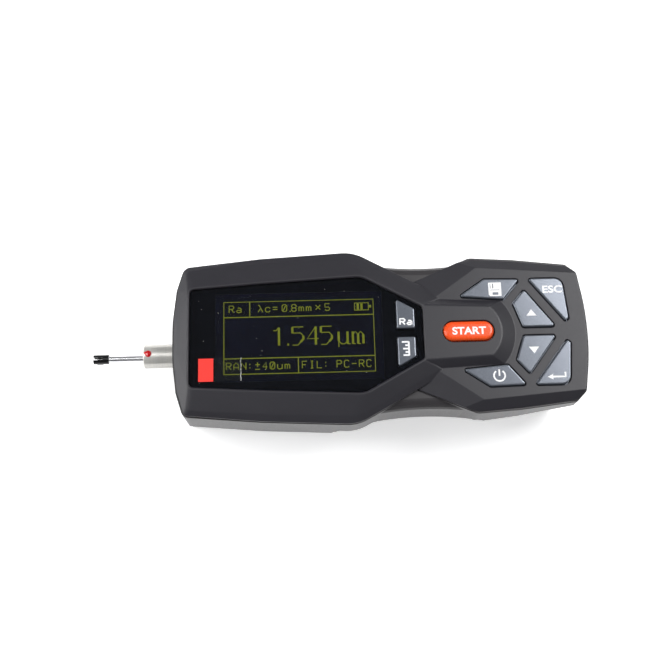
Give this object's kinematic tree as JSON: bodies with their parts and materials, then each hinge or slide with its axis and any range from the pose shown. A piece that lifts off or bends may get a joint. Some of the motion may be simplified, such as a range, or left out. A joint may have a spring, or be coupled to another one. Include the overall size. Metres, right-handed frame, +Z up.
{
  "type": "surface roughness tester",
  "caption": "Handheld surface roughness tester: waisted faceted body with a display window, a keypad, and a stylus pickup that a lead screw draws into the front end.",
  "frame": {"origin": "mouth of the stand thread, in the plane of the base", "axes": "+Z up from the base, +X along the body away from the pickup, +Y across the body towards the side with the ESC key"},
  "size_m": [0.1857, 0.0648, 0.046],
  "materials": {
    "lid_plastic": "fine matt texture",
    "case_plastic": "fine matt texture",
    "black_lens": "polished",
    "display_glass": "polished",
    "black_plastic": "moulded",
    "red_film": "thin film",
    "board": "solder mask",
    "bright_steel": "ground",
    "satin_steel": "satin",
    "screw_steel": "plated",
    "battery_wrap": "shrink film",
    "brass": "turned",
    "cast_alloy": "machined",
    "motor_steel": "drawn",
    "red_lacquer": "lacquer",
    "copper_coil": "wound wire",
    "orange_key": "satin",
    "silver_key": "metallic satin"
  },
  "bodies": {
    "housing": {"top_cover": "lid_plastic", "bottom_case": "case_plastic", "display_window": "black_lens", "display_panel": "display_glass", "display_carrier": "black_plastic", "film_tab": "red_film", "key_switches": "black_plastic", "main_board": "board", "usb_socket": "bright_steel", "battery": "battery_wrap", "stand_insert": "brass", "case_screws": "screw_steel", "frame_screws": "screw_steel", "board_screws": "screw_steel", "drive_frame": "cast_alloy", "guide_rods": "bright_steel", "drive_motor": "motor_steel"},
    "carriage": {"carriage": "cast_alloy", "lead_nut": "brass", "pivot_pin": "bright_steel"},
    "screw": {"lead_screw": "bright_steel"},
    "pickup": {"pickup_holder": "black_plastic", "pickup_tube": "satin_steel", "pickup_stem": "bright_steel", "nosepiece": "black_plastic", "seal_screw": "red_lacquer", "stylus_pin": "bright_steel", "sensor_coils": "copper_coil"},
    "stylus": {"stylus": "bright_steel"},
    "start_key": {"start_key": "orange_key"},
    "ra_key": {"ra_key": "silver_key"},
    "ruler_key": {"ruler_key": "silver_key"},
    "save_key": {"save_key": "silver_key"},
    "power_key": {"power_key": "silver_key"},
    "up_key": {"up_key": "silver_key"},
    "down_key": {"down_key": "silver_key"},
    "esc_key": {"esc_key": "silver_key"},
    "enter_key": {"enter_key": "silver_key"}
  },
  "joints": [
    {"name": "traverse", "type": "slide", "parent": "housing", "child": "carriage", "axis": [1, 0, 0], "range_m": [0, 0.0175]},
    {"name": "screw_spin", "type": "hinge", "parent": "housing", "child": "screw", "pos_m": [-0.048, 0, 0.0088], "axis": [1, 0, 0], "range_deg": [0, 6300]},
    {"name": "pickup_float", "type": "hinge", "parent": "carriage", "child": "pickup", "pos_m": [-0.057, 0, 0.0189], "axis": [0, 1, 0], "range_deg": [-2, 2], "stiffness_Nm_per_rad": 0.3},
    {"name": "stylus_lift", "type": "hinge", "parent": "pickup", "child": "stylus", "pos_m": [-0.081, 0, 0.016], "axis": [0, 1, 0], "range_deg": [-0.5, 0.5], "stiffness_Nm_per_rad": 0.01},
    {"name": "start_press", "type": "slide", "parent": "housing", "child": "start_key", "axis": [0, 0, -1], "range_m": [0, 0.0007], "stiffness_N_per_m": 600, "springref_m": -0.0004},
    {"name": "ra_press", "type": "slide", "parent": "housing", "child": "ra_key", "axis": [0, 0, -1], "range_m": [0, 0.0007], "stiffness_N_per_m": 600, "springref_m": -0.0004},
    {"name": "ruler_press", "type": "slide", "parent": "housing", "child": "ruler_key", "axis": [0, 0, -1], "range_m": [0, 0.0007], "stiffness_N_per_m": 600, "springref_m": -0.0004},
    {"name": "save_press", "type": "slide", "parent": "housing", "child": "save_key", "axis": [0, 0, -1], "range_m": [0, 0.0007], "stiffness_N_per_m": 600, "springref_m": -0.0004},
    {"name": "power_press", "type": "slide", "parent": "housing", "child": "power_key", "axis": [0, 0, -1], "range_m": [0, 0.0007], "stiffness_N_per_m": 600, "springref_m": -0.0004},
    {"name": "up_press", "type": "slide", "parent": "housing", "child": "up_key", "axis": [0, 0, -1], "range_m": [0, 0.0007], "stiffness_N_per_m": 600, "springref_m": -0.0004},
    {"name": "down_press", "type": "slide", "parent": "housing", "child": "down_key", "axis": [0, 0, -1], "range_m": [0, 0.0007], "stiffness_N_per_m": 600, "springref_m": -0.0004},
    {"name": "esc_press", "type": "slide", "parent": "housing", "child": "esc_key", "axis": [0, 0, -1], "range_m": [0, 0.0007], "stiffness_N_per_m": 600, "springref_m": -0.0004},
    {"name": "enter_press", "type": "slide", "parent": "housing", "child": "enter_key", "axis": [0, 0, -1], "range_m": [0, 0.0007], "stiffness_N_per_m": 600, "springref_m": -0.0004}
  ],
  "couplings": [
    {"joint": "screw_spin", "follows": "traverse", "rad_per_m": 6283.2}
  ]
}
